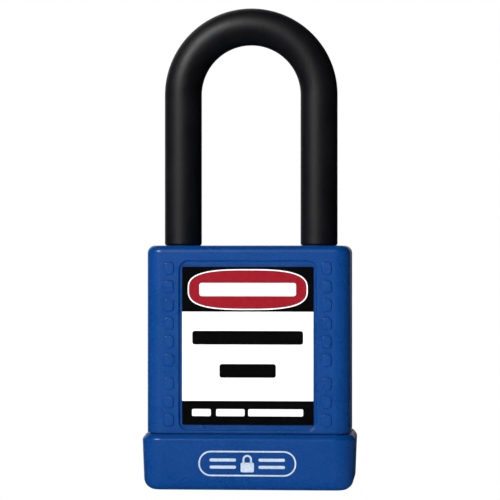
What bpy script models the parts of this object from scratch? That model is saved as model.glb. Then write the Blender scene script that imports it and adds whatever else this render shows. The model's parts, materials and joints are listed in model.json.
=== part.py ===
"""A keyed safety padlock: plastic jacket and cap round an aluminium lock body, with a sheathed shackle.

Units are metres. +Z is up, the labelled front faces -Y, and the origin is under the middle of the cap.
"""

import math

import bmesh
import bpy
from mathutils import Matrix, Vector

# Jacket and cap, seen from outside
JACKET_WIDTH, JACKET_DEPTH, JACKET_LOW, JACKET_TOP = 0.0400, 0.0200, 0.0024, 0.0481
JACKET_CORNER, JACKET_EDGE, JACKET_WALL, JACKET_ROOF = 0.0030, 0.0020, 0.0013, 0.0014
CAP_WIDTH, CAP_DEPTH, CAP_HEIGHT, CAP_TAPER = 0.0420, 0.0220, 0.0110, 0.0003
CAP_CORNER, CAP_WALL, CAP_FLOOR, CAP_INNER_BEVEL = 0.0040, 0.00080, 0.0014, 0.0008
CAP_BEVEL_DOWN, CAP_BEVEL_IN, CAP_FOOT_ROUND, KEY_OPENING = 0.00095, 0.00070, 0.0023, 0.0063

# Label recess, the same on the front and the back, and the raised marks beside it
RECESS_WIDTH, RECESS_LOW, RECESS_HIGH = 0.0270, 0.0118, 0.0451
RECESS_CORNER, RECESS_DEPTH = 0.0018, 0.0005
LABEL_WIDTH, LABEL_LOW, LABEL_HIGH = 0.0258, 0.0129, 0.0439
LABEL_CORNER, LABEL_THICKNESS, LABEL_GAP = 0.0002, 0.0002, 0.00006
MARK_WIDTH, MARK_HEIGHT, MARK_RISE, MARK_X = 0.0020, 0.0025, 0.00025, 0.0155
MARK_TOP, MARK_PITCH, MARK_WORD_GAP = 0.0436, 0.0036, 0.0010
MARK_WORDS = (6, 3)

# Shackle: steel core in a plastic sheath. The heel is the left leg, the toe is the right leg
LEG_X, ARCH_CENTRE = 0.0136, 0.0782
SHEATH_RADIUS, SHEATH_BORE, SHEATH_END, SHEATH_ROUND = 0.0037, 0.00285, 0.0485, 0.0004
CORE_RADIUS, TOE_END, CORE_CHAMFER = 0.00275, 0.0366, 0.0004
NECK_RADIUS, NECK_TOP, COLLAR_TOP, COLLAR_END = 0.0018, 0.0352, 0.0205, 0.0175
NOTCH_DEPTH, NOTCH_BELOW, NOTCH_ABOVE = 0.0016, 0.00409, 0.0026
LEG_BORE, TOE_BORE_END, HEEL_BORE_END, ROOF_HOLE = 0.00295, 0.0362, 0.0060, 0.00315

# Lock body
BODY_WIDTH, BODY_DEPTH, BODY_LOW, BODY_HIGH, BODY_CORNER = 0.0368, 0.0168, 0.0016, 0.0464, 0.0020
PLUG_BORE, PLUG_BORE_END = 0.00665, 0.0272
DRIVER_BORE, DRIVER_BORE_END = 0.0043, 0.0450

# Key plug, with its keyway along X and a groove for the pin that keeps it in
PLUG_RADIUS, PLUG_LOW, PLUG_HIGH, PLUG_CHAMFER = 0.0065, 0.0017, 0.0270, 0.0003
GROOVE_RADIUS, GROOVE_LOW, GROOVE_HIGH = 0.0055, 0.0023, 0.0039
KEYWAY_LEFT, KEYWAY_RIGHT, KEYWAY_HALF, KEYWAY_WARD, KEYWAY_END = -0.0049, 0.0044, 0.0011, 0.0005, 0.0241
SLOT_HALF_LENGTH, SLOT_HALF_WIDTH, SLOT_LOW = 0.0041, 0.00125, 0.0252

# Six pin stacks along +X
PIN_COUNT, PIN_FIRST, PIN_PITCH = 6, 0.0056, 0.0034
PIN_RADIUS, CHAMBER_RADIUS, CHAMBER_INNER = 0.0013, 0.00145, 0.0006
KEY_PIN_OUTER, KEY_PIN_LENGTHS = 0.00635, (0.0036, 0.0044, 0.0032, 0.0048, 0.0039, 0.0030)
KEY_PIN_TIP_RADIUS, KEY_PIN_TIP_LENGTH = 0.00039, 0.00091
DRIVER_PIN_INNER, DRIVER_PIN_OUTER, DRIVER_PIN_CHAMFER = 0.0068, 0.0110, 0.00033
PIN_SPRING_INNER, PIN_SPRING_OUTER = 0.0113, 0.0166
PIN_SPRING_RADIUS, PIN_SPRING_WIRE, PIN_SPRING_TURNS = 0.00105, 0.00015, 4
STRIP_INNER, STRIP_OUTER, STRIP_HALF_WIDTH, STRIP_MARGIN = 0.0169, 0.0183, 0.0019, 0.0020
STRIP_GAP = 0.00015

# Bolt driver and the two locking bolts, whose tails lap beside each other
BOLT_Z, BOLT_RADIUS, BOLT_TIP, CROSS_BORE = 0.0422, 0.0025, 0.01205, 0.00265
BOLT_NOSE_ANGLE = math.radians(85)
LAP_GAP, LAP_END, TAIL_END = 0.00015, 0.0083, -0.00005
LUG_REACH, LUG_RADIUS, LUG_TOP, LUG_ANGLE = 0.00283, 0.0009, 0.0436, math.radians(45)
TAIL_SLOT_HALF, TAIL_SLOT_FLOOR = 0.00105, 0.00095
STEM_RADIUS, STEM_LOW, STEM_HIGH = 0.0040, 0.0273, 0.0393
TONGUE_HALF_LENGTH, TONGUE_HALF_WIDTH, TONGUE_LOW = 0.0038, 0.0011, 0.0253
BORE_PLUG_RADIUS, BORE_PLUG_INNER, BORE_PLUG_OUTER = 0.0026, 0.0167, 0.0183

# Cross pins, both along Y from the back, and the spring under the heel
HEEL_PIN_X, HEEL_PIN_Z, HEEL_PIN_RADIUS, HEEL_PIN_HOLE = -0.01045, 0.0339, 0.0012, 0.0013
PLUG_PIN_X, PLUG_PIN_Z, PLUG_PIN_RADIUS, PLUG_PIN_HOLE = -0.00636, 0.0031, 0.0007, 0.0008
CROSS_PIN_FRONT, CROSS_PIN_BACK, CROSS_PIN_CHAMFER, CROSS_HOLE_FRONT = -0.0050, 0.0082, 0.00014, -0.0053
HEEL_SPRING_LOW, HEEL_SPRING_HIGH, HEEL_SPRING_TURNS = 0.0063, 0.0172, 7
HEEL_SPRING_RADIUS, HEEL_SPRING_WIRE = 0.00215, 0.00035

# Sides of round pieces, steps of rounded corners, and how far a cutter runs past what it cuts
SIDES_WIDE, SIDES_MIDDLE, SIDES_PIN = 40, 24, 12
SIDES_SHEATH, SIDES_CORE, ARCH_STEPS, CORNER_STEPS, EDGE_STEPS = 20, 16, 20, 5, 4
PAST = 0.0010

# Steps in each turn of a coil, the sides of its wire, and how much closer than the middle turns its
# end turns are, as a share of the pitch
PIN_COIL_STEPS, PIN_COIL_SIDES, HEEL_COIL_STEPS, HEEL_COIL_SIDES = 9, 5, 12, 6
COIL_CLOSING = 0.4

# Edges sharper than this are shown sharp
SHARP_ANGLE = math.radians(35)

# Finish: base colour, roughness, metallic
FINISHES = {
    "blue_plastic": ((0.010, 0.060, 0.270), 0.45, 0.0),
    "black_sheath": ((0.008, 0.008, 0.009), 0.50, 0.0),
    "printed_label": ((0.750, 0.750, 0.750), 0.40, 0.0),
    "aluminium": ((0.620, 0.630, 0.640), 0.35, 1.0),
    "brass": ((0.700, 0.500, 0.210), 0.30, 1.0),
    "steel": ((0.560, 0.570, 0.580), 0.25, 1.0),
    "spring_steel": ((0.420, 0.430, 0.450), 0.30, 1.0),
}


def clear_scene():
    for old in list(bpy.data.objects):
        bpy.data.objects.remove(old, do_unlink=True)


def finish_of(name):
    """The material of this finish, made the first time that it is asked for."""
    made = bpy.data.materials.get(name)
    if made:
        return made
    colour, roughness, metallic = FINISHES[name]
    made = bpy.data.materials.new(name)
    made.use_nodes = True
    shader = made.node_tree.nodes["Principled BSDF"]
    shader.inputs["Base Color"].default_value = (*colour, 1.0)
    shader.inputs["Roughness"].default_value = roughness
    shader.inputs["Metallic"].default_value = metallic
    return made


def mesh_of(name, rings, closed=False):
    """A mesh through rings of points, all of one length. Its ends are filled, or meet if it is closed."""
    form = bmesh.new()
    rows = [[form.verts.new(point) for point in ring] for ring in rings]
    count = len(rows[0])
    pairs = list(zip(rows, rows[1:]))
    if closed:
        pairs.append((rows[-1], rows[0]))
    for low, high in pairs:
        for i in range(count):
            j = (i + 1) % count
            form.faces.new((low[i], low[j], high[j], high[i]))
    if not closed:
        form.faces.new(rows[0][::-1])
        form.faces.new(rows[-1])
    bmesh.ops.recalc_face_normals(form, faces=form.faces)
    mesh = bpy.data.meshes.new(name)
    form.to_mesh(mesh)
    form.free()
    mesh.shade_smooth()
    mesh.set_sharp_from_angle(angle=SHARP_ANGLE)
    return mesh


def add(name, mesh, finish, place=(0, 0, 0), turn=(0, 0, 0), parent=None):
    """A piece of the lock, placed in its parent's frame."""
    piece = bpy.data.objects.new(name, mesh)
    if not mesh.materials:
        mesh.materials.append(finish_of(finish))
    piece.location = place
    piece.rotation_euler = turn
    piece.parent = parent
    bpy.context.scene.collection.objects.link(piece)
    return piece


def boolean(piece, mesh, operation="DIFFERENCE", place=(0, 0, 0), turn=(0, 0, 0), parent=None):
    """Cut a mesh from a piece, or join it on, with a guide object that isn't rendered."""
    guide = bpy.data.objects.new(mesh.name, mesh)
    guide.location = place
    guide.rotation_euler = turn
    guide.parent = parent
    guide.hide_render = True
    guide.display_type = "WIRE"
    bpy.context.scene.collection.objects.link(guide)
    modifier = piece.modifiers.new(mesh.name, "BOOLEAN")
    modifier.operation = operation
    modifier.object = guide


def circle(radius, height, sides):
    """A ring about Z."""
    turns = [2 * math.pi * i / sides for i in range(sides)]
    return [(radius * math.cos(a), radius * math.sin(a), height) for a in turns]


def turned(name, profile, sides):
    """A solid turned about Z, from (radius, height) points, lowest first."""
    return mesh_of(name, [circle(radius, height, sides) for radius, height in profile])


def rod(name, radius, low, high, sides, chamfer=0.0):
    """A plain round bar about Z, with chamfered ends if asked."""
    if not chamfer:
        return turned(name, [(radius, low), (radius, high)], sides)
    face = radius - chamfer
    return turned(name, [(face, low), (radius, low + chamfer), (radius, high - chamfer), (face, high)], sides)


def rounded_outline(half_width, half_height, corner, steps=CORNER_STEPS):
    """The outline of a rectangle with round corners, counter-clockwise."""
    points = []
    for quarter, (sign_u, sign_v) in enumerate(((1, 1), (-1, 1), (-1, -1), (1, -1))):
        centre_u = sign_u * (half_width - corner)
        centre_v = sign_v * (half_height - corner)
        for step in range(steps + 1):
            angle = math.radians(90) * (quarter + step / steps)
            points.append((centre_u + corner * math.cos(angle), centre_v + corner * math.sin(angle)))
    return points


def level(width, depth, corner, inset, height):
    """A level ring of a rounded box, drawn in by inset all round."""
    outline = rounded_outline(width / 2 - inset, depth / 2 - inset, corner - inset)
    return [(x, y, height) for x, y in outline]


def block(name, low, high):
    """A box between two corners."""
    (x0, y0, z0), (x1, y1, z1) = low, high
    rings = [[(x0, y0, z), (x1, y0, z), (x1, y1, z), (x0, y1, z)] for z in (z0, z1)]
    return mesh_of(name, rings)


def upright_slab(name, width, low, high, corner, near, far):
    """A slab with round corners that stands in the XZ plane, from y = near to y = far."""
    middle = (low + high) / 2
    outline = rounded_outline(width / 2, (high - low) / 2, corner)
    return mesh_of(name, [[(u, y, middle + v) for u, v in outline] for y in (near, far)])


def coil(name, radius, wire, low, high, turns, steps, sides):
    """A coil spring about Z whose wire's centre goes from low to high, with closed end turns."""
    rings = []
    count = turns * steps
    for i in range(count + 1):
        share = i / count
        rise = share - COIL_CLOSING * math.sin(2 * math.pi * share) / (2 * math.pi)
        angle = 2 * math.pi * i / steps
        centre = Vector((radius * math.cos(angle), radius * math.sin(angle), low + (high - low) * rise))
        outward = Vector((math.cos(angle), math.sin(angle), 0.0))
        ring = []
        for side in range(sides):
            around = 2 * math.pi * side / sides
            ring.append(centre + wire * (math.cos(around) * outward + math.sin(around) * Vector((0, 0, 1))))
        rings.append(ring)
    return mesh_of(name, rings)


def ring_across(point, direction, radius, sides):
    """A ring across the shackle's line, which stays in the XZ plane."""
    side = Vector((0, 1, 0)).cross(direction)
    around = [2 * math.pi * k / sides for k in range(sides)]
    return [point + radius * (math.cos(a) * side + math.sin(a) * Vector((0, 1, 0))) for a in around]


def arch_rings(radius, sides):
    """Rings along the shackle's arch, from the heel side to the toe side."""
    rings = []
    for step in range(ARCH_STEPS + 1):
        angle = math.pi * (1 - step / ARCH_STEPS)
        point = Vector((LEG_X * math.cos(angle), 0.0, ARCH_CENTRE + LEG_X * math.sin(angle)))
        rings.append(ring_across(point, Vector((math.sin(angle), 0.0, -math.cos(angle))), radius, sides))
    return rings


def leg_rings(sign, levels, sides):
    """Rings of one leg, from (radius, height) points. The sign is -1 for the heel and 1 for the toe."""
    direction = Vector((0, 0, -sign))
    return [ring_across(Vector((sign * LEG_X, 0, z)), direction, radius, sides) for radius, z in levels]


def shackle_core():
    """The steel bar: collar and neck on the heel, the arch, and a short toe, with a notch in each leg."""
    heel = [
        (CORE_RADIUS - CORE_CHAMFER, COLLAR_END),
        (CORE_RADIUS, COLLAR_END + CORE_CHAMFER),
        (CORE_RADIUS, COLLAR_TOP),
        (NECK_RADIUS, COLLAR_TOP),
        (NECK_RADIUS, NECK_TOP),
        (CORE_RADIUS, NECK_TOP),
    ]
    toe = [(CORE_RADIUS, TOE_END + CORE_CHAMFER), (CORE_RADIUS - CORE_CHAMFER, TOE_END)]
    rings = leg_rings(-1, heel, SIDES_CORE) + arch_rings(CORE_RADIUS, SIDES_CORE)
    rings += leg_rings(1, toe, SIDES_CORE)
    piece = add("shackle_core", mesh_of("shackle_core", rings), "steel")
    inner_side = LEG_X - CORE_RADIUS
    for side, sign in (("heel", -1), ("toe", 1)):
        ends = sorted((sign * (inner_side - PAST), sign * (inner_side + NOTCH_DEPTH)))
        low = (ends[0], -BODY_DEPTH / 2, BOLT_Z - NOTCH_BELOW)
        high = (ends[1], BODY_DEPTH / 2, BOLT_Z + NOTCH_ABOVE)
        boolean(piece, block(f"cut_{side}_notch", low, high))


def shackle_sheath():
    """The plastic sleeve on the bar, open at both ends, with softened end edges."""
    outer_end = [
        (SHEATH_RADIUS - SHEATH_ROUND, SHEATH_END),
        (SHEATH_RADIUS, SHEATH_END + SHEATH_ROUND),
    ]
    inner_end = [(SHEATH_BORE, SHEATH_END)]
    rings = leg_rings(-1, outer_end, SIDES_SHEATH) + arch_rings(SHEATH_RADIUS, SIDES_SHEATH)
    rings += leg_rings(1, outer_end[::-1] + inner_end, SIDES_SHEATH)
    rings += arch_rings(SHEATH_BORE, SIDES_SHEATH)[::-1] + leg_rings(-1, inner_end, SIDES_SHEATH)
    add("shackle_sheath", mesh_of("shackle_sheath", rings, closed=True), "black_sheath")


def mark_heights():
    """Heights of the raised marks' middles, in two groups with a wider gap between them."""
    heights, z = [], MARK_TOP
    for word in MARK_WORDS:
        for _ in range(word):
            heights.append(z)
            z -= MARK_PITCH
        z -= MARK_WORD_GAP
    return heights


def raised_marks():
    """All the marks on both faces as one mesh of separate boxes, sunk into the jacket's wall."""
    form = bmesh.new()
    length = MARK_RISE + RECESS_DEPTH
    for face in (-1, 1):
        for side in (-1, 1):
            for z in mark_heights():
                y = face * (JACKET_DEPTH / 2 + MARK_RISE - length / 2)
                place = Matrix.Translation((side * MARK_X, y, z))
                size = Matrix.Diagonal((MARK_WIDTH, length, MARK_HEIGHT, 1))
                bmesh.ops.create_cube(form, size=1.0, matrix=place @ size)
    mesh = bpy.data.meshes.new("join_marks")
    form.to_mesh(mesh)
    form.free()
    return mesh


def body_jacket():
    """The moulded cover: a shell that is open below, with a rounded top edge."""
    inner_top = JACKET_TOP - JACKET_ROOF
    outer = (JACKET_WIDTH, JACKET_DEPTH, JACKET_CORNER)
    rings = [
        level(*outer, JACKET_WALL, inner_top),
        level(*outer, JACKET_WALL, JACKET_LOW),
        level(*outer, 0.0, JACKET_LOW),
    ]
    for step in range(EDGE_STEPS + 1):
        angle = math.radians(90) * step / EDGE_STEPS
        inset = JACKET_EDGE * (1 - math.cos(angle))
        rings.append(level(*outer, inset, JACKET_TOP - JACKET_EDGE * (1 - math.sin(angle))))
    piece = add("body_jacket", mesh_of("body_jacket", rings), "blue_plastic")
    for side in (-1, 1):
        hole = rod("cut_roof_hole", ROOF_HOLE, inner_top - PAST, JACKET_TOP + PAST, SIDES_MIDDLE)
        boolean(piece, hole, place=(side * LEG_X, 0, 0))
        floor = side * (JACKET_DEPTH / 2 - RECESS_DEPTH)
        recess = (RECESS_WIDTH, RECESS_LOW, RECESS_HIGH, RECESS_CORNER)
        boolean(piece, upright_slab("cut_recess", *recess, floor, side * (JACKET_DEPTH / 2 + PAST)))
    boolean(piece, raised_marks(), "UNION")


def base_cap():
    """The tray that the jacket stands in, with a round opening for the key."""
    outer = (CAP_WIDTH, CAP_DEPTH, CAP_CORNER)
    rings = [
        level(*outer, CAP_WALL + CAP_INNER_BEVEL, CAP_FLOOR),
        level(*outer, CAP_WALL, CAP_FLOOR + CAP_INNER_BEVEL),
        level(*outer, CAP_WALL, CAP_HEIGHT),
        level(*outer, CAP_BEVEL_IN, CAP_HEIGHT),
        level(*outer, 0.0, CAP_HEIGHT - CAP_BEVEL_DOWN),
    ]
    for step in range(EDGE_STEPS + 1):
        angle = math.radians(90) * step / EDGE_STEPS
        inset = CAP_TAPER + CAP_FOOT_ROUND * (1 - math.cos(angle))
        rings.append(level(*outer, inset, CAP_FOOT_ROUND * (1 - math.sin(angle))))
    piece = add("base_cap", mesh_of("base_cap", rings), "blue_plastic")
    boolean(piece, rod("cut_key_opening", KEY_OPENING, -PAST, CAP_FLOOR + PAST, SIDES_WIDE))


def labels():
    """The front label and the plain one on the back, each on the floor of its recess."""
    floor = JACKET_DEPTH / 2 - RECESS_DEPTH
    for name, side in (("safety_label", -1), ("rear_label", 1)):
        near = side * (floor + LABEL_GAP)
        far = side * (floor + LABEL_GAP + LABEL_THICKNESS)
        slab = upright_slab(name, LABEL_WIDTH, LABEL_LOW, LABEL_HIGH, LABEL_CORNER, near, far)
        add(name, slab, "printed_label")


def along_x(z):
    """Place and turn that lay a solid turned about Z along +X at this height."""
    return {"place": (0, 0, z), "turn": (0, math.radians(90), 0)}


def along_y(x, z):
    """Place and turn that lay a solid turned about Z along +Y."""
    return {"place": (x, 0, z), "turn": (math.radians(-90), 0, 0)}


def pin_heights():
    return [PIN_FIRST + PIN_PITCH * i for i in range(PIN_COUNT)]


def strip_box(name, gap):
    """The bar that closes the pin chambers, or its seat when the gap is more than 0."""
    low = (STRIP_INNER - gap, -STRIP_HALF_WIDTH - gap, pin_heights()[0] - STRIP_MARGIN - gap)
    high = (STRIP_OUTER + 2 * gap, STRIP_HALF_WIDTH + gap, pin_heights()[-1] + STRIP_MARGIN + gap)
    return block(name, low, high)


def lock_body():
    """The aluminium block with every bore of the lock."""
    outer = (BODY_WIDTH, BODY_DEPTH, BODY_CORNER, 0.0)
    mesh = mesh_of("lock_body", [level(*outer, BODY_LOW), level(*outer, BODY_HIGH)])
    piece = add("lock_body", mesh, "aluminium")
    boolean(piece, rod("cut_plug_bore", PLUG_BORE, BODY_LOW - PAST, PLUG_BORE_END, SIDES_WIDE))
    boolean(piece, rod("cut_driver_bore", DRIVER_BORE, PLUG_BORE_END - PAST, DRIVER_BORE_END, SIDES_MIDDLE))
    for side, end in ((-1, HEEL_BORE_END), (1, TOE_BORE_END)):
        leg_bore = rod("cut_leg_bore", LEG_BORE, end, BODY_HIGH + PAST, SIDES_MIDDLE)
        boolean(piece, leg_bore, place=(side * LEG_X, 0, 0))
    cross_bore = rod("cut_cross_bore", CROSS_BORE, -LEG_X, BODY_WIDTH / 2 + PAST, SIDES_MIDDLE)
    boolean(piece, cross_bore, **along_x(BOLT_Z))
    boolean(piece, strip_box("cut_strip_seat", STRIP_GAP))
    chamber = rod("cut_chamber", CHAMBER_RADIUS, PLUG_BORE - PAST, STRIP_INNER, SIDES_PIN)
    for z in pin_heights():
        boolean(piece, chamber, **along_x(z))
    for name, radius, x, z in (
        ("cut_heel_pin_hole", HEEL_PIN_HOLE, HEEL_PIN_X, HEEL_PIN_Z),
        ("cut_plug_pin_hole", PLUG_PIN_HOLE, PLUG_PIN_X, PLUG_PIN_Z),
    ):
        hole = rod(name, radius, CROSS_HOLE_FRONT, BODY_DEPTH / 2 + PAST, SIDES_PIN)
        boolean(piece, hole, **along_y(x, z))


def keyway():
    """The cutter for the key's slot: a straight channel with one ward along each side."""
    third = (KEYWAY_RIGHT - KEYWAY_LEFT) / 3
    xs = (KEYWAY_LEFT, KEYWAY_LEFT + third, KEYWAY_RIGHT - third, KEYWAY_RIGHT)
    outline = [
        (xs[0], -KEYWAY_HALF),
        (xs[1], -KEYWAY_HALF),
        (xs[1] + KEYWAY_WARD, -KEYWAY_HALF + KEYWAY_WARD),
        (xs[3], -KEYWAY_HALF + KEYWAY_WARD),
        (xs[3], KEYWAY_HALF),
        (xs[2], KEYWAY_HALF),
        (xs[2] - KEYWAY_WARD, KEYWAY_HALF - KEYWAY_WARD),
        (xs[0], KEYWAY_HALF - KEYWAY_WARD),
    ]
    return mesh_of("cut_keyway", [[(x, y, z) for x, y in outline] for z in (PLUG_LOW - PAST, KEYWAY_END)])


def key_plug():
    """The turning plug, with its keyway, pin chambers and the slot for the driver's tongue."""
    profile = [
        (PLUG_RADIUS - PLUG_CHAMFER, PLUG_LOW),
        (PLUG_RADIUS, PLUG_LOW + PLUG_CHAMFER),
        (PLUG_RADIUS, GROOVE_LOW),
        (GROOVE_RADIUS, GROOVE_LOW),
        (GROOVE_RADIUS, GROOVE_HIGH),
        (PLUG_RADIUS, GROOVE_HIGH),
        (PLUG_RADIUS, PLUG_HIGH),
    ]
    piece = add("key_plug", turned("key_plug", profile, SIDES_WIDE), "brass")
    boolean(piece, keyway(), parent=piece)
    chamber = rod("cut_plug_chamber", CHAMBER_RADIUS, CHAMBER_INNER, PLUG_RADIUS + PAST, SIDES_PIN)
    for z in pin_heights():
        boolean(piece, chamber, parent=piece, **along_x(z))
    low = (-SLOT_HALF_LENGTH, -SLOT_HALF_WIDTH, SLOT_LOW)
    high = (SLOT_HALF_LENGTH, SLOT_HALF_WIDTH, PLUG_HIGH + PAST)
    boolean(piece, block("cut_tongue_slot", low, high), parent=piece)
    return piece


def bolt_driver(plug):
    """The crank on top of the plug: a tongue below, a round stem, and two lugs that push the bolts."""
    stem = rod("bolt_driver", STEM_RADIUS, STEM_LOW, STEM_HIGH, SIDES_MIDDLE)
    piece = add("bolt_driver", stem, "steel", parent=plug)
    low = (-TONGUE_HALF_LENGTH, -TONGUE_HALF_WIDTH, TONGUE_LOW)
    high = (TONGUE_HALF_LENGTH, TONGUE_HALF_WIDTH, STEM_LOW + PAST)
    boolean(piece, block("join_tongue", low, high), "UNION", parent=piece)
    lug = rod("join_lug", LUG_RADIUS, STEM_HIGH - PAST, LUG_TOP, SIDES_PIN)
    for angle in (LUG_ANGLE, LUG_ANGLE + math.pi):
        place = (LUG_REACH * math.cos(angle), LUG_REACH * math.sin(angle), 0)
        boolean(piece, lug, "UNION", place=place, parent=piece)


def locking_bolt(name, turn_z):
    """A bolt with a round nose. Half of its tail is cut away, and a slot in the rest takes a lug."""
    nose = []
    for step in range(EDGE_STEPS + 1):
        angle = BOLT_NOSE_ANGLE * step / EDGE_STEPS
        height = BOLT_TIP - BOLT_RADIUS + BOLT_RADIUS * math.sin(angle)
        nose.append((BOLT_RADIUS * math.cos(angle), height))
    mesh = turned(name, [(BOLT_RADIUS, TAIL_END)] + nose, SIDES_MIDDLE)
    piece = add(name, mesh, "steel", place=(0, 0, BOLT_Z), turn=(0, math.radians(90), turn_z))
    wide = BOLT_RADIUS + PAST
    lap = block("cut_lap", (-wide, -wide, TAIL_END - PAST), (wide, LAP_GAP, LAP_END))
    boolean(piece, lap, parent=piece)
    middle = LUG_REACH * math.cos(LUG_ANGLE)
    low = (-wide, TAIL_SLOT_FLOOR, middle - TAIL_SLOT_HALF)
    boolean(piece, block("cut_lug_slot", low, (wide, wide, middle + TAIL_SLOT_HALF)), parent=piece)


def pin_stacks(plug):
    """Key pins in the plug, and driver pins and springs in the body, which meet at the plug's edge."""
    length = DRIVER_PIN_OUTER - DRIVER_PIN_INNER
    driver_pin = rod("driver_pin", PIN_RADIUS, 0, length, SIDES_PIN, chamfer=DRIVER_PIN_CHAMFER)
    spring_size = (PIN_SPRING_RADIUS, PIN_SPRING_WIRE, PIN_SPRING_INNER + PIN_SPRING_WIRE)
    spring_ends = (PIN_SPRING_OUTER - PIN_SPRING_WIRE, PIN_SPRING_TURNS)
    pin_spring = coil("pin_spring", *spring_size, *spring_ends, PIN_COIL_STEPS, PIN_COIL_SIDES)
    lying = (0, math.radians(90), 0)
    for number, (z, pin_length) in enumerate(zip(pin_heights(), KEY_PIN_LENGTHS), 1):
        profile = [
            (KEY_PIN_TIP_RADIUS, -pin_length),
            (PIN_RADIUS, -pin_length + KEY_PIN_TIP_LENGTH),
            (PIN_RADIUS, 0),
        ]
        key_pin = turned(f"key_pin_{number}", profile, SIDES_PIN)
        add(f"key_pin_{number}", key_pin, "brass", (KEY_PIN_OUTER, 0, z), lying, plug)
        add(f"driver_pin_{number}", driver_pin, "steel", (DRIVER_PIN_INNER, 0, z), lying)
        add(f"pin_spring_{number}", pin_spring, "spring_steel", (0, 0, z), lying)


def small_fittings():
    """The chamber strip, the cross bore's plug, the two cross pins and the heel spring."""
    add("chamber_strip", strip_box("chamber_strip", 0.0), "aluminium")
    closing = rod("cross_bore_plug", BORE_PLUG_RADIUS, BORE_PLUG_INNER, BORE_PLUG_OUTER, SIDES_MIDDLE)
    add("cross_bore_plug", closing, "aluminium", **along_x(BOLT_Z))
    for name, radius, x, z in (
        ("heel_retaining_pin", HEEL_PIN_RADIUS, HEEL_PIN_X, HEEL_PIN_Z),
        ("plug_retaining_pin", PLUG_PIN_RADIUS, PLUG_PIN_X, PLUG_PIN_Z),
    ):
        pin = rod(name, radius, CROSS_PIN_FRONT, CROSS_PIN_BACK, SIDES_PIN, CROSS_PIN_CHAMFER)
        add(name, pin, "steel", **along_y(x, z))
    size = (HEEL_SPRING_RADIUS, HEEL_SPRING_WIRE, HEEL_SPRING_LOW + HEEL_SPRING_WIRE)
    ends = (HEEL_SPRING_HIGH - HEEL_SPRING_WIRE, HEEL_SPRING_TURNS)
    spring = coil("heel_spring", *size, *ends, HEEL_COIL_STEPS, HEEL_COIL_SIDES)
    add("heel_spring", spring, "spring_steel", place=(-LEG_X, 0, 0))


def main():
    clear_scene()
    body_jacket()
    base_cap()
    labels()
    lock_body()
    plug = key_plug()
    bolt_driver(plug)
    locking_bolt("locking_bolt_right", 0.0)
    locking_bolt("locking_bolt_left", math.radians(180))
    pin_stacks(plug)
    shackle_core()
    shackle_sheath()
    small_fittings()


main()
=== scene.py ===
import json
import math

import bmesh
import bpy
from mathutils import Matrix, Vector
from mathutils.geometry import delaunay_2d_cdt

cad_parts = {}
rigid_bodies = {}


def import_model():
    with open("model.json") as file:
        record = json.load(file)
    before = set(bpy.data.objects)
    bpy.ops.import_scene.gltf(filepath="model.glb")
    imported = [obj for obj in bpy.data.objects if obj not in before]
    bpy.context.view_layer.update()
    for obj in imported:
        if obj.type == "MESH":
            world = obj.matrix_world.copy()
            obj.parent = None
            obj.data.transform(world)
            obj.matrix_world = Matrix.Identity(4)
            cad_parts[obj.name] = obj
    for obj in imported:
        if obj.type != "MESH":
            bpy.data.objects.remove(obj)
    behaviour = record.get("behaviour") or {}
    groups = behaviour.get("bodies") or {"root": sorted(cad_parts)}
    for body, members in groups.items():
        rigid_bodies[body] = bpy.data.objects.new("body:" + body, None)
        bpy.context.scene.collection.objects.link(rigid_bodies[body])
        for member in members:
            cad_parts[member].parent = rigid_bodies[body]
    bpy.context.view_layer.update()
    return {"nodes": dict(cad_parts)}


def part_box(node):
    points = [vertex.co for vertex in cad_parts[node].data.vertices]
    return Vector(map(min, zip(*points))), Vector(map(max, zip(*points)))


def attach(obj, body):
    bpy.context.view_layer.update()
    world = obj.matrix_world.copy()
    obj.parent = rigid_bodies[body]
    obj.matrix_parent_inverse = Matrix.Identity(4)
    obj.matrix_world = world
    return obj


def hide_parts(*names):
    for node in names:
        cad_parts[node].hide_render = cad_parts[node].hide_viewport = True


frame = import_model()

# What the boxes of the CAD nodes don't tell, in metres
JACKET_CORNER, JACKET_EDGE, JACKET_WALL, JACKET_ROOF = 0.0030, 0.0015, 0.0013, 0.0014
RECESS_WIDTH, RECESS_LOW, RECESS_HIGH = 0.0270, 0.0118, 0.0451
RECESS_CORNER, RECESS_DEPTH, RECESS_LIP, RECESS_FILLET = 0.0018, 0.0005, 0.00022, 0.00018
MARK_WIDTH, MARK_HEIGHT, MARK_RISE, MARK_X = 0.0020, 0.0025, 0.00025, 0.0155
MARK_TOP, MARK_PITCH, MARK_WORD_GAP, MARK_CORNER = 0.0436, 0.0036, 0.0010, 0.0007
MARK_WORDS = (6, 3)
CAP_CORNER, CAP_WALL, CAP_FLOOR, CAP_TAPER = 0.0040, 0.00080, 0.0014, 0.0003
CAP_BEVEL_DOWN, CAP_BEVEL_IN, CAP_FOOT_ROUND, CAP_INNER_BEVEL = 0.00095, 0.00070, 0.0023, 0.0008
CAP_BEVEL_SOFT, CAP_SOFT_IN, CAP_SOFT_DOWN = 4, 0.35, 0.15  # bevel over softened edge, and its middle point
SEAM_DEPTH, SEAM_HEIGHT = 0.00045, 0.00024
SEAM_PROFILE = ((0.0, 0.0), (SEAM_DEPTH, 0.25), (SEAM_DEPTH, 1.0), (0.0, 1.25))  # inset, rise over height
KEY_OPENING, KEY_OPENING_LIP = 0.0063, 0.00035
LEG_X, ARCH_CENTRE = 0.0136, 0.0782
SHEATH_RADIUS, SHEATH_BORE, SHEATH_ROUND = 0.0037, 0.00285, 0.00045
SHEATH_LOWER = 0.00040  # how far the sleeve reaches below its CAD solid
ROOF_HOLE, ROOF_HOLE_LIP = 0.00315, 0.00030
CORE_RADIUS, CORE_CHAMFER, NECK_RADIUS, NECK_TOP, COLLAR_TOP = 0.00275, 0.0004, 0.0018, 0.0352, 0.0205
TOE_END, NOTCH_DEPTH, NOTCH_LOW, NOTCH_HIGH = 0.0366, 0.0016, 0.03811, 0.0448
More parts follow.
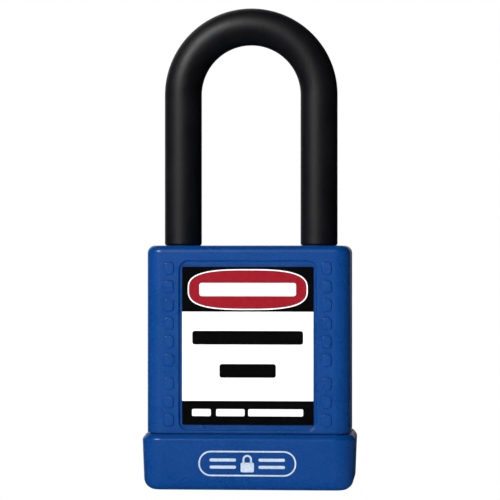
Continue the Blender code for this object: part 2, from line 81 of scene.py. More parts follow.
GROOVE_RADIUS, GROOVE_LOW, GROOVE_HIGH, PLUG_CHAMFER = 0.0055, 0.0023, 0.0039, 0.0003
FACE_RING_IN, FACE_RING_OUT, FACE_RING_DEPTH = 0.0054, 0.0057, 0.00012
KEYWAY_LEFT, KEYWAY_RIGHT, KEYWAY_HALF, KEYWAY_WARD = -0.0049, 0.0044, 0.0011, 0.0005
KEYWAY_END, KEYWAY_MOUTH = 0.0241, 0.00016
CHAMBER_RADIUS, CHAMBER_INNER, PIN_STACKS = 0.00145, 0.0006, 6
SLOT_HALF_LENGTH, SLOT_HALF_WIDTH, SLOT_LOW = 0.0041, 0.00125, 0.0252

# Prints on the labels. A bar is (across, height of its middle, width, height).
LABEL_CORNER, HEADER_LOW, FOOTER_HIGH = 0.00015, 0.0351, 0.0176
OVAL_HALF_WIDTH, OVAL_HALF_HEIGHT, OVAL_Z, OVAL_POWER, OVAL_LINE = 0.0118, 0.0040, 0.03945, 3.0, 0.00022
HEADER_BAR = (0.0, OVAL_Z, 0.0190, 0.0026)
FIELD_BARS = ((0.0, 0.0300, 0.0218, 0.0027), (0.0, 0.0235, 0.0111, 0.0027))
FOOTER_BARS = (
    (-0.0091, 0.0153, 0.0037, 0.0014), (-0.0034, 0.0153, 0.0056, 0.0014), (0.0055, 0.0153, 0.0108, 0.0014))
REAR_HEADER_BAR = (0.0, OVAL_Z, 0.0150, 0.0022)
REAR_LINES = tuple((0.0, z, 0.0222, 0.00028) for z in (0.0302, 0.0256, 0.0210, 0.0164))
BAR_CORNER, BAR_STEPS = 0.18, 4
CUT_SCALE, CUT_NEARNESS = 1000, 1e-5  # the label is divided in millimetres, with points this near made one

# The raised emblem on the cap. A block is (half width, half height, corner, steps in a corner).
EMBLEM_Z, EMBLEM_WIDTH, EMBLEM_HEIGHT, EMBLEM_LINE = 0.0054, 0.0192, 0.0050, 0.00030
EMBLEM_RISE, EMBLEM_SUNK, EMBLEM_ROUND = 0.00006, 0.00010, 0.98
LOCK_BLOCK, LOCK_BLOCK_Z = (0.00130, 0.00095, 0.00028, 5), -0.00075
LOCK_LOOP, LOCK_LOOP_Z = (0.00092, 0.00056, 0.00080), 0.00080
EMBLEM_BAR, EMBLEM_BAR_X, EMBLEM_BAR_Z = (0.0026, 0.00030, 0.00029, 6), 0.0048, 0.00070

# Fineness of round shapes
CORNER_STEPS, EDGE_STEPS, LIP_STEPS, ARCH_STEPS, MARK_STEPS = 10, 8, 4, 72, 6
SIDES_TUBE, SIDES_HOLE, SIDES_PLUG, SIDES_CHAMBER, SIDES_FLOOR, OVAL_POINTS = 56, 64, 96, 20, 64, 120
PAST = 0.001  # how far a cutter goes past the face that it cuts

# Camera: level, a little to the right of the front
CAMERA_DISTANCE, CAMERA_HEIGHT, CAMERA_TURN, CAMERA_LENS = 0.500, 0.0472, 4.0, 180.0
CAMERA_SHIFT_X, CAMERA_SHIFT_Y = -0.0022, 0.0001
CAMERA_SENSOR, CAMERA_NEAR, CAMERA_FAR = 36.0, 0.01, 20.0

# Studio. A lamp is (name, azimuth, elevation, distance, width, height, watts), in degrees and metres.
FLOOR_RADIUS, FLOOR_GAP = 2.0, 0.0005
WALL_WAY = (-0.30, 0.88, 0.35)
WALL_EDGE, WALL_LIGHT = (0.82, 0.94), (0.01, 1.00)
KEY_BOX = ("key_box", -30, 29, 0.90, 0.25, 0.25, 6.2)
MATT_BOXES = (
    ("fill_box", -20, 12, 0.90, 0.60, 0.60, 4.6),
    ("back_box", 170, 50, 1.00, 0.60, 0.60, 5.0),
    ("under_box", 20, -70, 0.90, 0.60, 0.60, 4.0),
)
FLOOR_BOX = ("floor_box", 0, 90, 2.50, 6.0, 6.0, 70.0)
EDGE_BOX = ("edge_box", -6, 38, 0.90, 0.70, 0.14, 0.5)
METAL_BOXES = (
    ("metal_box_below", 20, -70, 0.90, 0.90, 0.90, 6.0),
    ("metal_box_left", -40, 15, 0.90, 0.80, 1.20, 3.0),
    ("metal_box_right", 75, 20, 0.90, 0.60, 1.20, 1.6),
)


# ---------------------------------------------------------------- mesh helpers

def finished(name, form):
    """The object of a bmesh, with its faces turned outwards."""
    bmesh.ops.recalc_face_normals(form, faces=form.faces)
    mesh = bpy.data.meshes.new(name)
    form.to_mesh(mesh)
    form.free()
    piece = bpy.data.objects.new(name, mesh)
    bpy.context.scene.collection.objects.link(piece)
    return piece


def loft(name, rings, closed=False):
    """A mesh through rings of points of one length, with filled ends unless it closes on itself."""
    form = bmesh.new()
    rows = [[form.verts.new(point) for point in ring] for ring in rings]
    count = len(rows[0])
    for low, high in list(zip(rows, rows[1:])) + ([(rows[-1], rows[0])] if closed else []):
        for i in range(count):
            j = (i + 1) % count
            form.faces.new((low[i], low[j], high[j], high[i]))
    if not closed:
        form.faces.new(rows[0][::-1])
        form.faces.new(rows[-1])
    return finished(name, form)


def carve(piece, tools, operation="DIFFERENCE"):
    """Cut the tools from a piece, or join them on, then remove them."""
    for tool in tools:
        modifier = piece.modifiers.new("carve", "BOOLEAN")
        modifier.operation = operation
        modifier.object = tool
    bpy.context.view_layer.update()
    mesh = bpy.data.meshes.new_from_object(piece.evaluated_get(bpy.context.evaluated_depsgraph_get()))
    piece.modifiers.clear()
    piece.data = mesh
    for tool in tools:
        bpy.data.objects.remove(tool, do_unlink=True)


def settle(piece, node, body):
    """The piece stands for a CAD node, which is hidden when one is given, and rides on its body."""
    if node:
        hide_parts(node)
    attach(piece, body)


def dress(piece, material, node, body, sharp=35):
    """Settle a piece with one material, smooth between its edges, with its flat faces kept flat."""
    piece.data.materials.clear()
    piece.data.materials.append(material)
    piece.data.shade_smooth()
    piece.data.set_sharp_from_angle(angle=math.radians(sharp))
    modifier = piece.modifiers.new("flat_faces_lead", "WEIGHTED_NORMAL")
    modifier.keep_sharp = True
    settle(piece, node, body)


def rounded_outline(half_u, half_v, corner, steps=CORNER_STEPS):
    """The outline of a rectangle with round corners."""
    points = []
    for quadrant, (sign_u, sign_v) in enumerate(((1, 1), (-1, 1), (-1, -1), (1, -1))):
        for step in range(steps + 1):
            angle = math.radians(90) * (quadrant + step / steps)
            u = sign_u * (half_u - corner) + corner * math.cos(angle)
            v = sign_v * (half_v - corner) + corner * math.sin(angle)
            points.append((u, v))
    return points


def level(half_x, half_y, corner, inset, height):
    """A level ring of a rounded box, drawn in by inset all round."""
    outline = rounded_outline(half_x - inset, half_y - inset, corner - inset)
    return [(x, y, height) for x, y in outline]


def circle(radius, height, sides, x=0.0):
    turns = [2 * math.pi * i / sides for i in range(sides)]
    return [(x + radius * math.cos(a), radius * math.sin(a), height) for a in turns]


def quarter(steps):
    """Angles from 0 to 90 degrees."""
    return [math.radians(90) * step / steps for step in range(steps + 1)]


def box_tool(low, high):
    (x0, y0, z0), (x1, y1, z1) = low, high
    return loft("tool", [[(x0, y0, z), (x1, y0, z), (x1, y1, z), (x0, y1, z)] for z in (z0, z1)])


# ---------------------------------------------------------------- materials

class Finish:
    """A material's node tree, with short calls for the nodes that the recipes below share."""

    def __init__(self, name, roughness, metallic=0.0, specular=0.5):
        self.material = bpy.data.materials.new(name)
        self.material.use_nodes = True
        self.nodes, self.links = self.material.node_tree.nodes, self.material.node_tree.links
        self.surface = self.nodes["Principled BSDF"]
        self.surface.inputs["Roughness"].default_value = roughness
        self.surface.inputs["Metallic"].default_value = metallic
        self.surface.inputs["Specular IOR Level"].default_value = specular
        self.place = self.nodes.new("ShaderNodeTexCoord").outputs["Object"]
        self.normal = None

    def stretched(self, scale):
        """The piece's coordinates with each axis scaled."""
        node = self.nodes.new("ShaderNodeMapping")
        node.inputs["Scale"].default_value = scale
        self.links.new(self.place, node.inputs["Vector"])
        return node.outputs["Vector"]

    def noise(self, size, detail=3.0, stretch=None, distortion=0.0):
        """Noise whose features are about this size in metres."""
        node = self.nodes.new("ShaderNodeTexNoise")
        node.inputs["Scale"].default_value = 1.0 / size
        node.inputs["Detail"].default_value = detail
        node.inputs["Distortion"].default_value = distortion
        self.links.new(self.stretched(stretch) if stretch else self.place, node.inputs["Vector"])
        return node.outputs["Fac"]

    def ramp(self, value, *stops):
        """A colour ramp with (position, colour) stops."""
        node = self.nodes.new("ShaderNodeValToRGB")
        elements = node.color_ramp.elements
        while len(elements) < len(stops):
            elements.new(0.5)
        for element, (position, colour) in zip(elements, stops):
            element.position = position
            element.color = (*colour, 1.0)
        self.links.new(value, node.inputs["Fac"])
        return node.outputs["Color"]

    def spread(self, value, low, high):
        """The middle half of a noise, spread from low to high."""
        node = self.nodes.new("ShaderNodeMapRange")
        for socket, number in (("From Min", 0.25), ("From Max", 0.75), ("To Min", low), ("To Max", high)):
            node.inputs[socket].default_value = number
        self.links.new(value, node.inputs["Value"])
        return node.outputs["Result"]

    def times(self, first, second):
        """The product of two colours."""
        node = self.nodes.new("ShaderNodeMix")
        node.data_type, node.blend_type = "RGBA", "MULTIPLY"
        sockets = {i.name: i for i in node.inputs if i.enabled}
        sockets["Factor"].default_value = 1.0
        self.links.new(first, sockets["A"])
        self.links.new(second, sockets["B"])
        return next(o for o in node.outputs if o.enabled)

    def paint(self, colour=None, roughness=None):
        if colour:
            self.links.new(colour, self.surface.inputs["Base Color"])
        if roughness:
            self.links.new(roughness, self.surface.inputs["Roughness"])

    def bump(self, height, depth):
        """A relief of this depth in metres, over any that is there."""
        node = self.nodes.new("ShaderNodeBump")
        node.inputs["Distance"].default_value = depth
        self.links.new(height, node.inputs["Height"])
        if self.normal:
            self.links.new(self.normal, node.inputs["Normal"])
        self.normal = node.outputs["Normal"]
        self.links.new(self.normal, self.surface.inputs["Normal"])


def grey(value):
    return (value, value, value)


def moulded_blue():
    """Blue polymer from a spark-eroded mould: fine pits, faint specks and an uneven sheen."""
    made = Finish("moulded_blue", 0.28, specular=0.34)
    grain, cloud = made.noise(0.00040, detail=2.0), made.noise(0.008)
    tone = made.ramp(
        grain,
        (0.38, (0.0002, 0.0335, 0.162)),
        (0.54, (0.0003, 0.0385, 0.177)),
        (0.68, (0.0025, 0.0455, 0.200)))
    drift = made.ramp(cloud, (0.3, grey(0.92)), (0.7, grey(1.0)))
    made.paint(made.times(tone, drift), made.spread(cloud, 0.25, 0.32))
    made.bump(grain, 0.00002)
    return made.material


def sleeve_black():
    """Black sleeve polymer with a fine grain and short drawn streaks."""
    made = Finish("sleeve_black", 0.50, specular=0.46)
    cloud = made.noise(0.005, detail=4.0)
    made.paint(made.ramp(cloud, (0.3, (0.0016, 0.0016, 0.0024)), (0.7, (0.0026, 0.0026, 0.0037))),
               made.spread(cloud, 0.46, 0.54))
    made.bump(made.noise(0.0007, detail=3.0, stretch=(1.5, 1.5, 0.8), distortion=0.6), 0.00003)
    return made.material


def printed(name, dark, light, roughness=0.30, specular=0.10):
    """Ink under a thin clear film: nearly even, with a faint mottle and a smooth sheen."""
    made = Finish(name, roughness, specular=specular)
    made.paint(made.ramp(made.noise(0.0012, detail=4.0), (0.35, dark), (0.65, light)),
               made.spread(made.noise(0.004), roughness - 0.03, roughness + 0.05))
    made.bump(made.noise(0.0025, detail=2.0), 0.00001)
    return made.material


def cut_metal(name, dark, light, roughness, stretch, depth=0.000012):
    """Machined metal, with tool marks drawn out along the axes whose scale is small."""
    made = Finish(name, roughness, metallic=1.0)
    marks, cloud = made.noise(0.00025, detail=4.0, stretch=stretch), made.noise(0.004)
    made.paint(made.ramp(cloud, (0.3, dark), (0.7, light)),
               made.spread(marks, roughness - 0.08, roughness + 0.10))
    made.bump(marks, depth)
    return made.material


def turned_brass():
    """Brass with the fine rings that a lathe leaves round Z, and a light tarnish."""
    made = Finish("turned_brass", 0.28, metallic=1.0)
    rings = made.nodes.new("ShaderNodeTexWave")
    rings.wave_type, rings.rings_direction = "RINGS", "Z"
    rings.inputs["Scale"].default_value = 1500.0
    rings.inputs["Distortion"].default_value = 1.2
    made.links.new(made.place, rings.inputs["Vector"])
    tarnish = made.noise(0.0022, detail=5.0)
    made.paint(made.ramp(tarnish, (0.30, (0.46, 0.29, 0.095)), (0.68, (0.66, 0.45, 0.17))),
               made.spread(tarnish, 0.40, 0.24))
    made.bump(rings.outputs["Fac"], 0.000008)
    return made.material


def paint_filled():
    """The light paint of the emblem, a little uneven."""
    made = Finish("paint_filled", 0.45, specular=0.4)
    grain = made.noise(0.0005, detail=4.0)
    made.paint(made.ramp(grain, (0.3, (0.34, 0.41, 0.50)), (0.7, (0.46, 0.53, 0.62))))
    made.bump(made.noise(0.0003), 0.00003)
    return made.material


# ---------------------------------------------------------------- jacket and cap

def recess_tool(side, face_y):
    """A cutter for one label recess, with a fillet round its floor and a rounded lip."""
    profile = [(RECESS_FILLET * (1 - math.sin(a)), RECESS_DEPTH - RECESS_FILLET * (1 - math.cos(a)))
               for a in quarter(LIP_STEPS)]
    profile += [(-RECESS_LIP * (1 - math.cos(a)), RECESS_LIP * (1 - math.sin(a))) for a in quarter(LIP_STEPS)]
    profile.append((-RECESS_LIP, -PAST))
    middle, rings = (RECESS_LOW + RECESS_HIGH) / 2, []
    for inset, depth in profile:
        half_u, half_v = RECESS_WIDTH / 2 - inset, (RECESS_HIGH - RECESS_LOW) / 2 - inset
        outline = rounded_outline(half_u, half_v, RECESS_CORNER - inset)
        rings.append([(u, side * (face_y - depth), middle + v) for u, v in outline])
    return loft("tool", rings)


def mark_heights():
    """Heights of the raised marks' middles, in two groups with a wider gap between them."""
    heights, z = [], MARK_TOP
    for word in MARK_WORDS:
        for _ in range(word):
            heights.append(z)
            z -= MARK_PITCH
        z -= MARK_WORD_GAP
    return heights


def raised_mark(x, z, side, face_y):
    """A low pip with round corners and a soft shoulder."""
    shoulder = [(MARK_RISE * (1 - math.cos(a)), MARK_RISE * math.sin(a)) for a in quarter(LIP_STEPS)]
    rings = []
    for inset, rise in [(0.0, -RECESS_DEPTH)] + shoulder:
        outline = rounded_outline(MARK_WIDTH / 2 - inset, MARK_HEIGHT / 2 - inset, MARK_CORNER - inset,
                                  MARK_STEPS)
        rings.append([(x + u, side * (face_y + rise), z + v) for u, v in outline])
    return loft("tool", rings)


def jacket_shell(material):
    """The moulded cover, open below, with a seam above the cap, recesses, raised marks and leg holes."""
    low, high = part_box("body_jacket")
    half_x, half_y, roof = high.x, high.y - MARK_RISE, high.z - JACKET_ROOF
    outer = (half_x, half_y, JACKET_CORNER)
    rings = [level(*outer, JACKET_WALL, roof), level(*outer, JACKET_WALL, low.z), level(*outer, 0.0, low.z)]
    cap_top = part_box("base_cap")[1].z
    for inset, rise in SEAM_PROFILE:
        rings.append(level(*outer, inset, cap_top + rise * SEAM_HEIGHT))
    for a in quarter(EDGE_STEPS):
        height = high.z - JACKET_EDGE * (1 - math.sin(a))
        rings.append(level(*outer, JACKET_EDGE * (1 - math.cos(a)), height))
    piece = loft("jacket_shell", rings)
    tools = [recess_tool(side, half_y) for side in (-1, 1)]
    for side in (-1, 1):
        hole = [circle(ROOF_HOLE, roof - PAST, SIDES_HOLE, side * LEG_X)]
        for a in quarter(LIP_STEPS):
            radius = ROOF_HOLE + ROOF_HOLE_LIP * (1 - math.cos(a))
            height = high.z - ROOF_HOLE_LIP * (1 - math.sin(a))
            hole.append(circle(radius, height, SIDES_HOLE, side * LEG_X))
        hole.append(circle(ROOF_HOLE + ROOF_HOLE_LIP, high.z + PAST, SIDES_HOLE, side * LEG_X))
        tools.append(loft("tool", hole))
    carve(piece, tools)
    marks = [raised_mark(column * MARK_X, z, face, half_y)
             for face in (-1, 1) for column in (-1, 1) for z in mark_heights()]
    carve(piece, marks, "UNION")
    dress(piece, material, "body_jacket", "housing")


def cap_inset(z, top):
    """How far the cap's wall is drawn in at a height, from its slight taper."""
    share = (top - CAP_BEVEL_DOWN - z) / (top - CAP_BEVEL_DOWN - CAP_FOOT_ROUND)
    return CAP_TAPER * share


def cap_shell(material):
    """The tray round the jacket's foot, with a sloping ledge, a round foot and a flared key opening."""
    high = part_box("base_cap")[1]
    outer, soften = (high.x, high.y, CAP_CORNER), CAP_BEVEL_DOWN / CAP_BEVEL_SOFT
    slope, ledge = CAP_BEVEL_IN / CAP_BEVEL_DOWN, high.z - CAP_BEVEL_DOWN
    rings = [
        level(*outer, CAP_WALL + CAP_INNER_BEVEL, CAP_FLOOR),
        level(*outer, CAP_WALL, CAP_FLOOR + CAP_INNER_BEVEL),
        level(*outer, CAP_WALL, high.z),
        level(*outer, CAP_BEVEL_IN + soften * slope / 2, high.z),
        level(*outer, CAP_BEVEL_IN - soften * slope / 2, high.z - soften / 2),
        level(*outer, slope * soften, ledge + soften),
        level(*outer, slope * soften * CAP_SOFT_IN, ledge + soften * CAP_SOFT_DOWN),
        level(*outer, cap_inset(ledge - soften, high.z), ledge - soften),
    ]
    for a in quarter(EDGE_STEPS):
        inset = CAP_TAPER + CAP_FOOT_ROUND * (1 - math.cos(a))
        rings.append(level(*outer, inset, CAP_FOOT_ROUND * (1 - math.sin(a))))
    piece = loft("cap_shell", rings)
    opening = [circle(KEY_OPENING + KEY_OPENING_LIP, -PAST, SIDES_PLUG)]
    for a in quarter(LIP_STEPS)[::-1]:
        radius = KEY_OPENING + KEY_OPENING_LIP * (1 - math.cos(a))
        opening.append(circle(radius, KEY_OPENING_LIP * (1 - math.sin(a)), SIDES_PLUG))
    opening.append(circle(KEY_OPENING, CAP_FLOOR + PAST, SIDES_PLUG))
    carve(piece, [loft("tool", opening)])
    dress(piece, material, "base_cap", "housing")


# ---------------------------------------------------------------- emblem and labels

def shifted(outline, u, v):
    return [(u + a, v + b) for a, b in outline]


def half_ring(outer, inner, legs, steps=14):
    """The outline of an upright arch with straight legs, about the middle of its round part."""
    arc = [(math.cos(math.pi * s / steps), math.sin(math.pi * s / steps)) for s in range(steps + 1)]
    out = [(outer, -legs)] + [(outer * a, outer * b) for a, b in arc] + [(-outer, -legs)]
    back = [(-inner, -legs)] + [(inner * a, inner * b) for a, b in arc[::-1]] + [(inner, -legs)]
    return out + back


def cap_emblem(material):
    """A plain lock sign between two pairs of bars in a thin frame, raised from the cap and painted."""
    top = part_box("base_cap")[1]
    shapes = [
        shifted(rounded_outline(*LOCK_BLOCK), 0.0, LOCK_BLOCK_Z),
        shifted(half_ring(*LOCK_LOOP), 0.0, LOCK_LOOP_Z),
    ]
    for side in (-1, 1):
        for v in (EMBLEM_BAR_Z, -EMBLEM_BAR_Z):
            shapes.append(shifted(rounded_outline(*EMBLEM_BAR), side * EMBLEM_BAR_X, v))
    form = bmesh.new()

    def row(outline, out):
        points = [(u, EMBLEM_Z + v) for u, v in outline]
        return [form.verts.new((u, -(top.y - cap_inset(z, top.z) + out), z)) for u, z in points]

    def wall(near, far):
        for i in range(len(near)):
            j = (i + 1) % len(near)
            form.faces.new((near[i], near[j], far[j], far[i]))

    for outline in shapes:
        near, far = row(outline, -EMBLEM_SUNK), row(outline, EMBLEM_RISE)
        wall(near, far)
        form.faces.new(near[::-1])
        form.faces.new(far)
    frame_rows, line, sunk, rise = [], EMBLEM_LINE, -EMBLEM_SUNK, EMBLEM_RISE
    for inset, out in ((0, sunk), (0, rise), (line, rise), (line, sunk)):
        half_u, half_v = EMBLEM_WIDTH / 2 - inset, EMBLEM_HEIGHT / 2 - inset
        frame_rows.append(row(rounded_outline(half_u, half_v, half_v * EMBLEM_ROUND), out))
    for near, far in zip(frame_rows, frame_rows[1:] + frame_rows[:1]):
        wall(near, far)
    piece = finished("cap_emblem", form)
    piece.data.materials.append(material)
    settle(piece, None, "housing")


def superellipse(half_u, half_v, z):
    points = []
    for i in range(OVAL_POINTS):
        a = 2 * math.pi * i / OVAL_POINTS
        u = half_u * math.copysign(abs(math.cos(a)) ** (2 / OVAL_POWER), math.cos(a))
        v = half_v * math.copysign(abs(math.sin(a)) ** (2 / OVAL_POWER), math.sin(a))
        points.append((u, z + v))
    return points


def bar(u, z, width, height):
    return shifted(rounded_outline(width / 2, height / 2, height * BAR_CORNER, BAR_STEPS), u, z)


def panel(half_u, low, high):
    return [(-half_u, low), (half_u, low), (half_u, high), (-half_u, high)]


def print_sheet(name, node, side, inks, regions):
    """A thin sheet whose outer face is divided into inked regions, each over those before it."""
    low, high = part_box(node)
    outer_y, inner_y = (low.y, high.y) if side < 0 else (high.y, low.y)
    middle = (low.z + high.z) / 2
    edge = shifted(rounded_outline(high.x, (high.z - low.z) / 2, LABEL_CORNER, BAR_STEPS), 0.0, middle)
    outlines = [edge] + [outline for outline, _ in regions]
    colours = [0] + [ink for _, ink in regions]
    points, loops = [], []
    for outline in outlines:
        loops.append(list(range(len(points), len(points) + len(outline))))
        points += [Vector(point) * CUT_SCALE for point in outline]
    flat, _, faces, _, _, owners = delaunay_2d_cdt(points, [], loops, 1, CUT_NEARNESS)
    form = bmesh.new()
    verts = [form.verts.new((-side * p.x / CUT_SCALE, outer_y, p.y / CUT_SCALE)) for p in flat]
    for face, owner in zip(faces, owners):
        if 0 in owner:
            made = form.faces.new([verts[i] for i in face])
            made.material_index = colours[max(owner)]
    bmesh.ops.delete(form, geom=[v for v in form.verts if not v.link_faces], context="VERTS")
    rim = [e for e in form.edges if len(e.link_faces) == 1]
    grown = bmesh.ops.extrude_edge_only(form, edges=rim)["geom"]
    for vert in grown:
        if isinstance(vert, bmesh.types.BMVert):
            vert.co.y = inner_y
    bmesh.ops.edgeloop_fill(form, edges=[e for e in grown if isinstance(e, bmesh.types.BMEdge)])
    piece = finished(name, form)
    for ink in inks:
        piece.data.materials.append(ink)
    settle(piece, node, "housing")


def labels():
    """The front label in its colour blocks, with plain bars for words, and a blank form on the back."""
    white = printed("label_white", (0.80, 0.80, 0.79), (0.86, 0.86, 0.85))
    black = printed("label_black", grey(0.0010), grey(0.0016))
    red = printed("label_red", (0.212, 0.0050, 0.0115), (0.234, 0.0066, 0.0142))
    pale = printed("label_grey", grey(0.42), grey(0.48))
    low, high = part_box("safety_label")
    half = high.x
    header, footer = panel(half, HEADER_LOW, high.z), panel(half, low.z, FOOTER_HIGH)
    front = [
        (header, 1),
        (superellipse(OVAL_HALF_WIDTH, OVAL_HALF_HEIGHT, OVAL_Z), 0),
        (superellipse(OVAL_HALF_WIDTH - OVAL_LINE, OVAL_HALF_HEIGHT - OVAL_LINE, OVAL_Z), 2),
        (bar(*HEADER_BAR), 0),
        *[(bar(*place), 1) for place in FIELD_BARS],
        (footer, 1),
        *[(bar(*place), 0) for place in FOOTER_BARS],
    ]
    print_sheet("front_label_print", "safety_label", -1, [white, black, red], front)
    rear = [(header, 1), (bar(*REAR_HEADER_BAR), 0), *[(bar(*place), 2) for place in REAR_LINES]]
    print_sheet("rear_label_print", "rear_label", 1, [white, black, pale], rear)


# ---------------------------------------------------------------- shackle

def ring_across(point, direction, radius):
    """A ring across the shackle's line, which stays in the XZ plane."""
    side = Vector((0, 1, 0)).cross(direction)
    turns = [2 * math.pi * k / SIDES_TUBE for k in range(SIDES_TUBE)]
    return [point + radius * (math.cos(a) * side + math.sin(a) * Vector((0, 1, 0))) for a in turns]


def leg_rings(sign, levels):
    """Rings of one leg, from (radius, height) points. The sign is -1 for the heel and 1 for the toe."""
    return [ring_across(Vector((sign * LEG_X, 0, z)), Vector((0, 0, -sign)), radius) for radius, z in levels]


def arch_rings(radius):
    """Rings along the arch, from the heel side to the toe side."""
    rings = []
    for step in range(ARCH_STEPS + 1):
        a = math.pi * (1 - step / ARCH_STEPS)
        point = Vector((LEG_X * math.cos(a), 0.0, ARCH_CENTRE + LEG_X * math.sin(a)))
        rings.append(ring_across(point, Vector((math.sin(a), 0.0, -math.cos(a))), radius))
    return rings


def sheath_skin(material):
    """The sleeve, open at both ends, with rounded rims that nearly reach the jacket."""
    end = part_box("shackle_sheath")[0].z - SHEATH_LOWER
    rim = [(SHEATH_RADIUS - SHEATH_ROUND * (1 - math.sin(a)), end + SHEATH_ROUND * (1 - math.cos(a)))
           for a in quarter(LIP_STEPS)]
    rings = leg_rings(-1, rim) + arch_rings(SHEATH_RADIUS) + leg_rings(1, rim[::-1])
    rings += leg_rings(1, [(SHEATH_BORE, end)]) + arch_rings(SHEATH_BORE)[::-1]
    rings += leg_rings(-1, [(SHEATH_BORE, end)])
    dress(loft("sheath_skin", rings, closed=True), material, "shackle_sheath", "shackle")


def shackle_bar(material):
    """The steel bar: collar and neck on the heel, the arch, and a short toe, with a notch in each leg."""
    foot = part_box("shackle_core")[0].z
    heel = [
        (CORE_RADIUS - CORE_CHAMFER, foot),
        (CORE_RADIUS, foot + CORE_CHAMFER),
        (CORE_RADIUS, COLLAR_TOP),
        (NECK_RADIUS, COLLAR_TOP),
        (NECK_RADIUS, NECK_TOP),
        (CORE_RADIUS, NECK_TOP),
    ]
    toe = [(CORE_RADIUS, TOE_END + CORE_CHAMFER), (CORE_RADIUS - CORE_CHAMFER, TOE_END)]
    piece = loft("shackle_bar", leg_rings(-1, heel) + arch_rings(CORE_RADIUS) + leg_rings(1, toe))
    inner, wide = LEG_X - CORE_RADIUS, 2 * CORE_RADIUS
    notches = []
    for sign in (-1, 1):
        ends = sorted((sign * (inner - PAST), sign * (inner + NOTCH_DEPTH)))
        notches.append(box_tool((ends[0], -wide, NOTCH_LOW), (ends[1], wide, NOTCH_HIGH)))
    carve(piece, notches)
    dress(piece, material, "shackle_core", "shackle")


# ---------------------------------------------------------------- key plug

def keyway_outline(grown):
    """The keyway: a straight channel with one ward along each side, widened all round by grown."""
    third = (KEYWAY_RIGHT - KEYWAY_LEFT) / 3
    left, right, half = KEYWAY_LEFT - grown, KEYWAY_RIGHT + grown, KEYWAY_HALF + grown
    low_step, high_step = KEYWAY_LEFT + third, KEYWAY_RIGHT - third
    return [
        (left, -half), (low_step, -half), (low_step + KEYWAY_WARD, KEYWAY_WARD - half),
        (right, KEYWAY_WARD - half), (right, half), (high_step, half),
        (high_step - KEYWAY_WARD, half - KEYWAY_WARD), (left, half - KEYWAY_WARD),
    ]


def plug_face(material):
    """The plug, with an edged keyway, a turned ring on its face, its pin chambers and the driver's slot."""
    low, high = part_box("key_plug")
    radius = high.x
    profile = [
        (FACE_RING_IN, low.z),
        (FACE_RING_IN + FACE_RING_DEPTH, low.z + FACE_RING_DEPTH),
        (FACE_RING_OUT - FACE_RING_DEPTH, low.z + FACE_RING_DEPTH),
        (FACE_RING_OUT, low.z),
        (radius - PLUG_CHAMFER, low.z),
        (radius, low.z + PLUG_CHAMFER),
        (radius, GROOVE_LOW),
        (GROOVE_RADIUS, GROOVE_LOW),
        (GROOVE_RADIUS, GROOVE_HIGH),
        (radius, GROOVE_HIGH),
        (radius, high.z),
    ]
    piece = loft("plug_face", [circle(r, z, SIDES_PLUG) for r, z in profile])
    mouth = (
        (KEYWAY_MOUTH, low.z - PAST), (KEYWAY_MOUTH, low.z), (0.0, low.z + KEYWAY_MOUTH), (0.0, KEYWAY_END))
    tools = [loft("tool", [[(x, y, z) for x, y in keyway_outline(grown)] for grown, z in mouth])]
    for number in range(1, PIN_STACKS + 1):
        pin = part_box(f"key_pin_{number}")
        z = (pin[0].z + pin[1].z) / 2
        turns = [2 * math.pi * i / SIDES_CHAMBER for i in range(SIDES_CHAMBER)]
        rings = [[(x, CHAMBER_RADIUS * math.cos(a), z + CHAMBER_RADIUS * math.sin(a)) for a in turns]
                 for x in (CHAMBER_INNER, radius + PAST)]
        tools.append(loft("tool", rings))
    tools.append(box_tool((-SLOT_HALF_LENGTH, -SLOT_HALF_WIDTH, SLOT_LOW),
                          (SLOT_HALF_LENGTH, SLOT_HALF_WIDTH, high.z + PAST)))
    carve(piece, tools)
    dress(piece, material, "key_plug", "plug")


# ---------------------------------------------------------------- what stays as CAD

def dress_inner_nodes(brass):
    """Machined finishes for the CAD nodes that keep their own mesh, by their slot."""
    finishes = {
        "aluminium": cut_metal(
            "milled_aluminium", grey(0.52), (0.66, 0.665, 0.67), 0.34, (1.0, 1.0, 0.08)),
        "brass": brass,
        "steel": cut_metal(
            "ground_steel", (0.40, 0.40, 0.41), (0.56, 0.565, 0.575), 0.26, (0.10, 1.0, 1.0)),
        "spring_steel": cut_metal(
            "spring_wire", (0.26, 0.27, 0.29), (0.42, 0.43, 0.45), 0.30, (1.0, 1.0, 1.0)),
    }
    for node in frame["nodes"].values():
        slot = node.data.materials[0].name
        if slot in finishes and not node.hide_render:
            node.data.materials[0] = finishes[slot]


# ---------------------------------------------------------------- studio

def towards(azimuth, elevation):
    """The unit vector towards a place round the object. Azimuth 0 is in front, and grows to the right."""
    a, e = math.radians(azimuth), math.radians(elevation)
    return Vector((math.sin(a) * math.cos(e), -math.cos(a) * math.cos(e), math.sin(e)))


def lamp(name, azimuth, elevation, distance, width, height, power, only=None, glossy=True):
    """A soft box that faces the middle of the object and that no camera sees."""
    light = bpy.data.lights.new(name, "AREA")
    light.shape, light.size, light.size_y = "RECTANGLE", width, height
    light.energy = power
    box = bpy.data.objects.new(name, light)
    away = towards(azimuth, elevation)
    box.location = distance * away + Vector((0, 0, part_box("body_jacket")[1].z))
    box.rotation_euler = away.to_track_quat("Z", "Y").to_euler()
    box.visible_camera, box.visible_glossy = False, glossy
    bpy.context.scene.collection.objects.link(box)
    if only:
        box.light_linking.receiver_collection = only


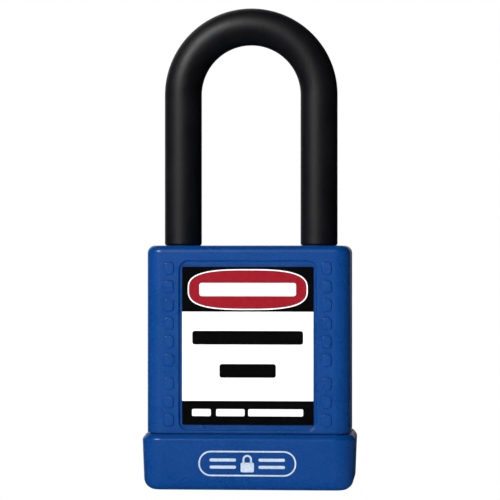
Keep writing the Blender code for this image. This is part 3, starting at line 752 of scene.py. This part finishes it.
def studio_floor():
    """A wide pale floor. It throws light up, and the camera looks past it, so the underside shows too."""
    form = bmesh.new()
    bmesh.ops.create_circle(form, cap_ends=True, segments=SIDES_FLOOR, radius=FLOOR_RADIUS)
    bmesh.ops.translate(form, vec=(0.0, 0.0, -FLOOR_GAP), verts=form.verts)
    floor = finished("studio_floor", form)
    made = Finish("pale_floor", 0.7, specular=0.2)
    made.paint(made.ramp(made.noise(0.05), (0.3, grey(0.84)), (0.7, grey(0.86))))
    floor.data.materials.append(made.material)
    floor.visible_camera = floor.visible_glossy = floor.visible_shadow = False
    return floor


def studio_air():
    """White everywhere for the camera. The object itself sees a dim room with a white wall behind it."""
    world = bpy.data.worlds.new("studio_air")
    world.use_nodes = True
    nodes, links = world.node_tree.nodes, world.node_tree.links
    nodes.clear()
    place, along = nodes.new("ShaderNodeTexCoord"), nodes.new("ShaderNodeVectorMath")
    wall, path = nodes.new("ShaderNodeMapRange"), nodes.new("ShaderNodeLightPath")
    room, seen = nodes.new("ShaderNodeBackground"), nodes.new("ShaderNodeBackground")
    mix, out = nodes.new("ShaderNodeMixShader"), nodes.new("ShaderNodeOutputWorld")
    for socket, number in zip(("From Min", "From Max", "To Min", "To Max"), WALL_EDGE + WALL_LIGHT):
        wall.inputs[socket].default_value = number
    along.operation = "DOT_PRODUCT"
    along.inputs[1].default_value = WALL_WAY
    links.new(place.outputs["Generated"], along.inputs[0])
    links.new(along.outputs["Value"], wall.inputs["Value"])
    links.new(wall.outputs["Result"], room.inputs["Strength"])
    room.inputs["Color"].default_value = (1, 1, 1, 1)
    seen.inputs["Color"].default_value = (1, 1, 1, 1)
    links.new(path.outputs["Is Camera Ray"], mix.inputs["Fac"])
    links.new(room.outputs["Background"], mix.inputs[1])
    links.new(seen.outputs["Background"], mix.inputs[2])
    links.new(mix.outputs["Shader"], out.inputs["Surface"])
    bpy.context.scene.world = world


def only_these(name, *pieces):
    """A collection that a lamp can be kept to."""
    group = bpy.data.collections.new(name)
    for piece in pieces:
        group.objects.link(piece)
    return group


def studio():
    """Soft boxes. The matt ones leave no reflection. The last ones light only the jacket or the bare metal."""
    floor = studio_floor()
    studio_air()
    shown = bpy.data.objects
    ground = only_these("floor_only", floor)
    lamp(*KEY_BOX)
    for box in MATT_BOXES:
        lamp(*box, glossy=False)
    lamp(*FLOOR_BOX, only=ground)
    lamp(*EDGE_BOX, only=only_these("jacket_only", shown["jacket_shell"]))
    metal = only_these("metal_only", shown["plug_face"], shown["shackle_bar"])
    for box in METAL_BOXES:
        lamp(*box, only=metal)


def camera():
    data = bpy.data.cameras.new("front_camera")
    data.lens, data.sensor_width = CAMERA_LENS, CAMERA_SENSOR
    data.shift_x, data.shift_y = CAMERA_SHIFT_X, CAMERA_SHIFT_Y
    data.clip_start, data.clip_end = CAMERA_NEAR, CAMERA_FAR
    seen = bpy.data.objects.new("front_camera", data)
    away = towards(CAMERA_TURN, 0)
    seen.location = CAMERA_DISTANCE * away + Vector((0, 0, CAMERA_HEIGHT))
    seen.rotation_euler = away.to_track_quat("Z", "Y").to_euler()
    bpy.context.scene.collection.objects.link(seen)
    bpy.context.scene.camera = seen
    bpy.context.scene.view_settings.view_transform = "Standard"


blue = moulded_blue()
brass = turned_brass()
jacket_shell(blue)
cap_shell(blue)
cap_emblem(paint_filled())
labels()
sheath_skin(sleeve_black())
shackle_bar(cut_metal(
    "bright_steel", (0.50, 0.50, 0.51), (0.64, 0.645, 0.655), 0.20, (1.0, 1.0, 0.15)))
plug_face(brass)
dress_inner_nodes(brass)
studio()
camera()
